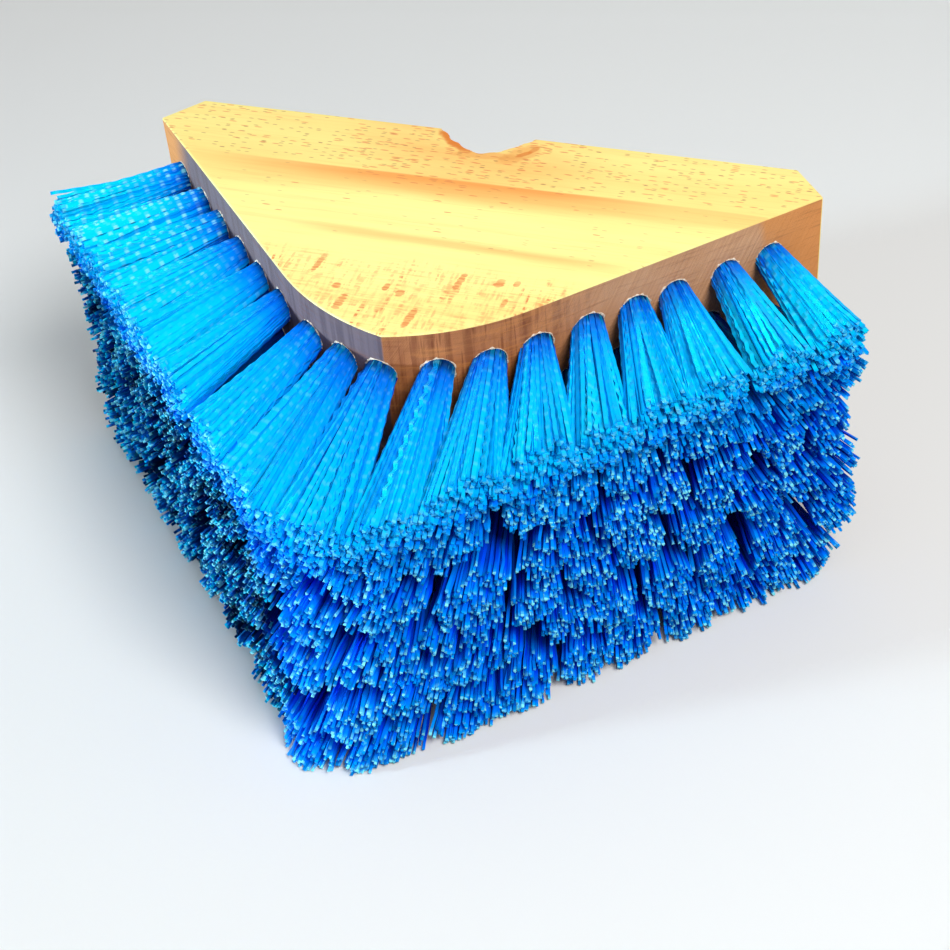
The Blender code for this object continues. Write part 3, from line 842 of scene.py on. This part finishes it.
def bristleTree(material):
    tree = bpy.data.node_groups.new("crimpedTufts", "GeometryNodeTree")
    face = tree.interface
    face.new_socket("Geometry", in_out="INPUT", socket_type="NodeSocketGeometry")
    face.new_socket("Geometry", in_out="OUTPUT", socket_type="NodeSocketGeometry")
    labels = {"Filaments": "Int", "Seed": "Int", "Points": "Int", "Trim wall": "Object"}
    for label in (*rowSizes, *treeSizes):
        labels[label] = "Float"
    named = {}
    for label, kind in labels.items():
        made = face.new_socket(label, in_out="INPUT", socket_type="NodeSocket" + kind)
        named[label] = made.identifier
    g = Graph(tree)
    start = tree.nodes.new("NodeGroupInput")
    end = tree.nodes.new("NodeGroupOutput")
    given = {socket.name: Wire(g, socket) for socket in start.outputs if socket.name}

    def attribute(name, kind="FLOAT"):
        return g.add("GeometryNodeInputNamedAttribute", {"data_type": kind}, {"Name": name})

    def chance(low, high, seed, ident=None):
        inputs = {2: low, 3: high, "Seed": given["Seed"] + seed}
        if ident is not None:
            inputs["ID"] = ident
        return g.add("FunctionNodeRandomValue", {"data_type": "FLOAT"}, inputs, 1)

    def store(geometry, name, value, kind="FLOAT"):
        settings = {"data_type": kind, "domain": "POINT"}
        inputs = {"Geometry": geometry, "Name": name, "Value": value}
        return g.add("GeometryNodeStoreNamedAttribute", settings, inputs)

    def farTo(origin, direction):
        ray = {"Source Position": origin, "Ray Direction": direction, "Ray Length": 1.0}
        hit = g.add("GeometryNodeRaycast", {}, {"Target Geometry": wall, **ray})
        return Wire(g, hit.socket.node.outputs["Hit Distance"])

    seen = g.add("GeometryNodeObjectInfo", {}, {"Object": given["Trim wall"]})
    wall = Wire(g, seen.socket.node.outputs["Geometry"])

    # one point for each filament, spread like sunflower seeds over the hole
    points = store(given["Geometry"], "tuft", g.add("GeometryNodeInputIndex"))
    inputs = {"Geometry": points, "Amount": given["Filaments"]}
    points = g.add("GeometryNodeDuplicateElements", {"domain": "POINT"}, inputs)
    number = Wire(g, points.socket.node.outputs[1])
    tuftTurn = chance(0, 2 * pi, 1, attribute("tuft"))
    share = ((number + 0.5) / given["Filaments"]) ** bristle["crowding"]
    # the core's filaments are shorter and stand further in, so that the tuft looks filled
    core = 1 - ((number % bristle["coreEvery"]) > 0.5)
    share = share * (1 - core * bristle["coreShare"])
    angle = number * goldenAngle + tuftTurn + chance(-0.2, 0.2, 3)
    aside = g.math("COSINE", angle) * share
    above = g.math("SINE", angle) * share

    # locks of filaments draw together towards their ends, and reach out unevenly
    def cellOf(value):
        return g.math("FLOOR", value * given["Lock cells"] + tuftTurn)

    def gathered(value):
        lock = (cellOf(value) + 0.5 - tuftTurn) / given["Lock cells"]
        return value + (lock - value) * given["Lock pull"]

    lockName = cellOf(aside) * 13 + cellOf(above) * 7 + attribute("tuft") * 131

    axis = attribute("axis", "FLOAT_VECTOR")
    sideways = g.vector("NORMALIZE", g.vector("CROSS_PRODUCT", axis, Vector((0, 0, 1))))
    upward = g.vector("CROSS_PRODUCT", sideways, axis)
    position = g.add("GeometryNodeInputPosition")
    reach = farTo(position, axis)
    mouth = position + (sideways * aside + upward * above) * given["Root radius"]
    fan = sideways * (gathered(aside) * attribute("sideSpread"))
    fan = fan + upward * (gathered(above) * attribute("upSpread"))
    span = {0: Vector((-1, -1, -1)), 1: Vector((1, 1, 1)), "Seed": given["Seed"] + 4}
    loose = g.add("FunctionNodeRandomValue", {"data_type": "FLOAT_VECTOR"}, span)
    looseness = given["Stray"] * (1 + (chance(0, 1, 5) > bristle["strayFrom"]) * bristle["strayMore"])
    heading = g.vector("NORMALIZE", position + axis * reach + fan - mouth + loose * (looseness * reach))
    length = farTo(mouth, heading) + given["Sink"] + given["Ragged ends"] * chance(-2, 0.6, 6)
    length = length - given["Ragged locks"] * chance(0, 1, 12, lockName) ** 2
    length = length - given["Dome"] * share ** 3 - given["Overhang"] * (above * 0.5 + 0.5)
    length = length - given["Core depth"] * core
    column = g.math("FLOOR", aside * given["Crimp columns"] + chance(-0.35, 0.35, 10))
    crimpTurn = bristle["crimpTurn"] + chance(-bristle["crimpWander"], bristle["crimpWander"], 8)
    crimpSize = given["Crimp height"] + given["Most crimp"] * chance(0, 1, 11) ** 7
    crimp = sideways * g.math("COSINE", crimpTurn) + upward * g.math("SINE", crimpTurn)
    for name, value, kind in (
        ("rootAt", mouth - heading * given["Sink"], "FLOAT_VECTOR"),
        ("heading", heading, "FLOAT_VECTOR"),
        ("bendTo", loose * given["Bend"], "FLOAT_VECTOR"),
        ("crimpTo", crimp * crimpSize, "FLOAT_VECTOR"),
        ("lengthOf", length, "FLOAT"),
        ("column", column, "FLOAT"),
        ("roll", chance(0, 2 * pi, 9), "FLOAT"),
        ("lit", attribute("exposed") * g.smooth(above, *bristle["litFrom"]), "FLOAT"),
        ("tone", chance(0, 1, 7), "FLOAT"),
        ("sunk", chance(0, 1, 12, lockName), "FLOAT"),
    ):
        points = store(points, name, value, kind)

    # a chain of points with one at each bend of the crimp, cut off at the filament's length
    span = {"Start": Vector((0, 0, 0)), "End": Vector((0, 0, 1))}
    line = g.add("GeometryNodeCurvePrimitiveLine", {"mode": "POINTS"}, span)
    line = g.add("GeometryNodeResampleCurve", {"mode": "COUNT"}, {"Curve": line, "Count": given["Points"]})
    lines = g.add("GeometryNodeInstanceOnPoints", {}, {"Points": points, "Instance": line})
    lines = g.add("GeometryNodeRealizeInstances", {}, {"Geometry": lines})
    parameter = g.add("GeometryNodeSplineParameter")
    step = Wire(g, parameter.socket.node.outputs[2])
    travelled = step * (given["Crimp pitch"] / 2)
    along = travelled / attribute("lengthOf")
    wave = (step + attribute("column")) % 2
    lines = store(lines, "along", along)
    lines = store(lines, "crest", wave)
    drawn = attribute("rootAt", "FLOAT_VECTOR") + attribute("heading", "FLOAT_VECTOR") * travelled
    drawn = drawn + attribute("crimpTo", "FLOAT_VECTOR") * (wave * 2 - 1)
    drawn = drawn + attribute("bendTo", "FLOAT_VECTOR") * (along * along)
    px, py, pz = g.separate(drawn)
    drawn = g.combine(px, py, g.math("MAXIMUM", pz, given["Least height"]))
    lines = g.add("GeometryNodeSetPosition", {}, {"Geometry": lines, "Position": drawn})
    lines = g.add("GeometryNodeTrimCurve", {"mode": "LENGTH"}, {0: lines, 4: 0.0, 5: attribute("lengthOf")})
    lines = g.add("GeometryNodeSetCurveTilt", {}, {"Curve": lines, "Tilt": attribute("roll")})
    inputs = {"Resolution": bristle["filamentSides"], "Radius": given["Filament radius"]}
    profile = g.add("GeometryNodeCurvePrimitiveCircle", {"mode": "RADIUS"}, inputs)
    inputs = {"Curve": lines, "Profile Curve": profile, "Fill Caps": True}
    skins = g.add("GeometryNodeCurveToMesh", {}, inputs)
    inputs = {"Geometry": skins, "Shade Smooth": False}
    skins = g.add("GeometryNodeSetShadeSmooth", {"domain": "FACE"}, inputs)
    skins = g.add("GeometryNodeRealizeInstances", {}, {"Geometry": skins})
    skins = g.add("GeometryNodeSetMaterial", {}, {"Geometry": skins, "Material": material})
    tree.links.new(skins.socket, end.inputs[0])
    return tree, named


bristleFinish = bristleMaterial()
tuftTree, treeInputs = bristleTree(bristleFinish)


def trimWall(row):  # the upright face that a row's bristle ends lie in, little past the part's box
    radius = rows["trimRadii"][row]
    apex = apexY - rows["trimOffset"] / cos(slant)
    outline = []
    for n in range(-rows["trimSteps"], rows["trimSteps"] + 1):
        x = n * rows["trimStep"]
        ahead = apex + abs(x)
        if abs(x) < radius * sin(slant):
            ahead = apex + radius / cos(slant) - sqrt(radius * radius - x * x)
        shift = rows["noseShifts"][row] * exp(-(x / rows["noseWidth"]) ** 2)
        outline.append(Vector((x - shift, max(ahead, cadBox[0][1] - rows["proud"]))))
    return place("trimWall", prism("trimWall", outline, *rows["trimHeights"]))


def sideSpread(ends, number, row):  # each tuft fans out until it meets its neighbours
    gaps = [(ends[number] - ends[n]).length for n in (number - 1, number + 1) if 0 <= n < len(ends)]
    least, most = bristle["sideSpreads" if row else "topSpreads"]
    if row % 2 == 0 and number in (0, len(ends) - 1):
        most = bristle["endSpread"]
    share = bristle["sideShares"][row]
    if row % 2 and not 1 < number < len(ends) - 2:
        share *= bristle["shortEndShare"]
    return min(most, max(least, sum(gaps) / len(gaps) * share))


def onLeft(tuft):
    return tuft["root"].x < bristle["leftFrom"]


# what the tree needs on its way, and no material reads
innerLayers = {
    "axis", "sideSpread", "upSpread", "exposed", "tuft", "rootAt", "heading",
    "bendTo", "crimpTo", "lengthOf", "column", "roll",
}


def makeTufts(name, members, wall):
    mesh = bpy.data.meshes.new(name)
    mesh.from_pydata([t["root"] for t in members], [], [])
    axes = mesh.attributes.new("axis", "FLOAT_VECTOR", "POINT")
    axes.data.foreach_set("vector", [c for t in members for c in t["axis"]])
    for label in ("sideSpread", "upSpread", "gloss", "exposed", "frost", "tint"):
        layer = mesh.attributes.new(label, "FLOAT", "POINT")
        layer.data.foreach_set("value", [t[label] for t in members])
    piece = place(name, mesh)
    grow = piece.modifiers.new("tufts", "NODES")
    grow.node_group = tuftTree
    for label, value in treeSizes.items():
        grow[treeInputs[label]] = value
    row = members[0]["row"]
    grow[treeInputs["Filaments"]] = bristle["filaments"][row]
    grow[treeInputs["Filament radius"]] = bristle["filamentRadii"][row]
    grow[treeInputs["Crimp pitch"]] = bristle["crimpPitches"][row]
    grow[treeInputs["Lock pull"]] = bristle["clumps"][row]
    ragged = bristle["leftRagged"] if row and onLeft(members[0]) else 1
    grow[treeInputs["Ragged locks"]] = bristle["lockRagged"][row] * ragged
    grow[treeInputs["Dome"]] = bristle["domes"][row]
    grow[treeInputs["Points"]] = int(2 * bristle["longest"] / bristle["crimpPitches"][row]) + 1
    grow[treeInputs["Trim wall"]] = wall
    grow[treeInputs["Seed"]] = 100 * row + 7 * members[0]["number"] + 1
    mesh = applied(piece)
    mesh.materials.clear()
    mesh.materials.append(bristleFinish)
    for layer in [a.name for a in mesh.attributes if a.name in innerLayers]:
        mesh.attributes.remove(mesh.attributes[layer])
    return piece


def fitTufts(row, members, wall):  # how far each tuft fans out, and how much painted light and shade it gets
    wallTree = treeFrom(wall.data)
    ends = [wallTree.ray_cast(t["root"], t["axis"])[0] for t in members]
    gloss = {} if row else bristle["gloss"]
    for tuft in members:
        number = tuft["number"]
        tuft["sideSpread"] = sideSpread(ends, number, row) * tuft["swell"]
        tuft["upSpread"] = bristle["upSpreads"][row] * tuft["swell"]
        if row and not 1 < number < len(members) - 2:
            tuft["upSpread"] *= bristle["endTall"]
        if row and onLeft(tuft):
            tuft["upSpread"] *= bristle["leftTight"]
            tuft["sideSpread"] *= bristle["leftTight"]
        tuft["tint"] = min(1, max(0, abs(tuft["root"].x) - bristle["tintFrom"]) / bristle["tintReach"])
        tuft["gloss"] = gloss.get(number, bristle["plainGlint"])
        tuft["exposed"] = bristle["exposed"][row]
        frost = bristle["leftFrostAndShade"] if onLeft(tuft) else bristle["rightFrostAndShade"]
        tuft["frost"] = frost * (1 if row else bristle["topFrostAndShade"])


tuftPieces = {}
for row, word in enumerate(("top", "second", "third", "fourth", "fifth", "sixth")):
    wall = trimWall(row)
    members = [t for t in tufts if t["row"] == row]
    fitTufts(row, members, wall)
    if row < 2:
        for tuft in members:
            number = "%02d" % (tuft["number"] + 1)
            tuftPieces[word + "_tuft_" + number] = makeTufts(word + "Tuft" + number, [tuft], wall)
    else:
        middle = (len(members) + 1) // 2
        tuftPieces[word + "_row_left"] = makeTufts(word + "RowLeft", members[:middle], wall)
        tuftPieces[word + "_row_right"] = makeTufts(word + "RowRight", members[middle:], wall)
    bpy.data.objects.remove(wall)
    print(word, "row of tufts made")


# Anchors: flat steel wire, sealed in the wood
anchorSteel = {
    "colour": srgb(196, 197, 200),
    "dull": srgb(150, 152, 156),
    "rough": 0.35,
    "drawing": (4000, 4000, 300),
}


def steelMaterial():
    material = bpy.data.materials.new("anchorSteel")
    material.use_nodes = True
    g = Graph(material.node_tree)
    shader = material.node_tree.nodes["Principled BSDF"]
    here = g.add("ShaderNodeTexCoord", {}, {}, 3)
    inputs = {"Vector": here * Vector(anchorSteel["drawing"]), "Scale": 1.0, "Detail": 2}
    drawn = g.add("ShaderNodeTexNoise", {}, inputs)
    colour = g.mix(drawn, anchorSteel["colour"], anchorSteel["dull"])
    g.tree.links.new(colour.socket, shader.inputs["Base Color"])
    g.tree.links.new((anchorSteel["rough"] + drawn * 0.2).socket, shader.inputs["Roughness"])
    shader.inputs["Metallic"].default_value = 1
    return material


steel = steelMaterial()
for name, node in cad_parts.items():
    if "anchor" in name:
        node.data.materials.clear()
        node.data.materials.append(steel)

for piece in [blockPiece, rimPiece] + list(tuftPieces.values()):
    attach(piece, "root")
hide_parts("brush_block")
for node, piece in tuftPieces.items():
    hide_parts(node)
print("pieces ride on the block's body")


# Floor, light and camera
stageLook = {
    "floorHalf": 3,
    "floorDrop": 0.0003,
    "floor": srgb(228, 228, 226),
    "floorBounce": srgb(96, 96, 98),
    "world": 0.34,
    "keyPower": 14.5,
    "keySize": 0.55,
    "keySpread": radians(180),
    "keyFrom": (0.62, -0.46, 1.04),
    "keyColour": (1.0, 1.0, 1.0),
    "fillPower": 1.8,
    "fillColour": (0.62, 0.84, 1.0),
    "fillSize": 0.26,
    "fillFrom": (-1.45, -0.86, 0.24),
    "fillSpread": radians(36),
    "aim": (0, -0.02, 0.05),
}


def makeFloor():
    mesh = bpy.data.meshes.new("floor")
    half = stageLook["floorHalf"]
    corners = [(-half, -half, 0), (half, -half, 0), (half, half, 0), (-half, half, 0)]
    mesh.from_pydata(corners, [], [(0, 1, 2, 3)])
    material = bpy.data.materials.new("floorPaint")
    material.use_nodes = True
    g = Graph(material.node_tree)
    # the floor is pale to the eye, and less of its light falls back on the bristles
    seen = g.add("ShaderNodeLightPath")
    eye = g.math("MAXIMUM", seen, Wire(g, seen.socket.node.outputs["Is Glossy Ray"]))
    grey = g.add("ShaderNodeBsdfDiffuse", {}, {"Color": stageLook["floorBounce"]})
    pale = g.add("ShaderNodeBsdfDiffuse", {}, {"Color": stageLook["floor"]})
    mixed = g.add("ShaderNodeMixShader", {}, {0: eye, 1: grey, 2: pale})
    g.tree.links.new(mixed.socket, material.node_tree.nodes["Material Output"].inputs["Surface"])
    floor = place("floor", mesh, material)
    floor.location.z = -stageLook["floorDrop"]


def makeLights():
    world = bpy.data.worlds.new("studio")
    bpy.context.scene.world = world
    world.use_nodes = True
    sky = world.node_tree.nodes["Background"]
    sky.inputs["Color"].default_value = (1, 1, 1, 1)
    sky.inputs["Strength"].default_value = stageLook["world"]
    for name in ("key", "fill"):
        light = bpy.data.lights.new(name, "AREA")
        light.shape = "DISK"
        light.size = stageLook[name + "Size"]
        light.energy = stageLook[name + "Power"]
        light.color = stageLook[name + "Colour"]
        light.spread = stageLook[name + "Spread"]
        lamp = bpy.data.objects.new(name, light)
        bpy.context.scene.collection.objects.link(lamp)
        lamp.location = stageLook[name + "From"]
        away = lamp.location - Vector(stageLook["aim"])
        lamp.rotation_euler = away.to_track_quat("Z", "Y").to_euler()


view = {
    "azimuth": 0.364446,
    "elevation": 0.747437,
    "roll": -0.0905585,
    "distance": 0.4231,
    "target": (0.03524, -0.05502, 0.092),
    "focalPixels": 1990.68,
    "imageWidth": 950,
    "sensorWidth": 36,
    "clipStart": 0.01,
}


def makeCamera():
    azimuth, elevation, roll = view["azimuth"], view["elevation"], view["roll"]
    back = Vector((sin(azimuth) * cos(elevation), -cos(azimuth) * cos(elevation), sin(elevation)))
    right = (-back).cross(Vector((0, 0, 1))).normalized()
    up = right.cross(-back)
    turned = right * cos(roll) + up * sin(roll)
    upright = up * cos(roll) - right * sin(roll)
    lens = bpy.data.cameras.new("camera")
    lens.sensor_width = view["sensorWidth"]
    lens.lens = view["sensorWidth"] * view["focalPixels"] / view["imageWidth"]
    lens.clip_start = view["clipStart"]
    camera = bpy.data.objects.new("camera", lens)
    bpy.context.scene.collection.objects.link(camera)
    stand = Matrix.Translation(Vector(view["target"]) + back * view["distance"])
    camera.matrix_world = stand @ Matrix((turned, upright, back)).transposed().to_4x4()
    bpy.context.scene.camera = camera


makeFloor()
makeLights()
makeCamera()
bpy.context.scene.view_settings.view_transform = "Standard"
print("stage ready")
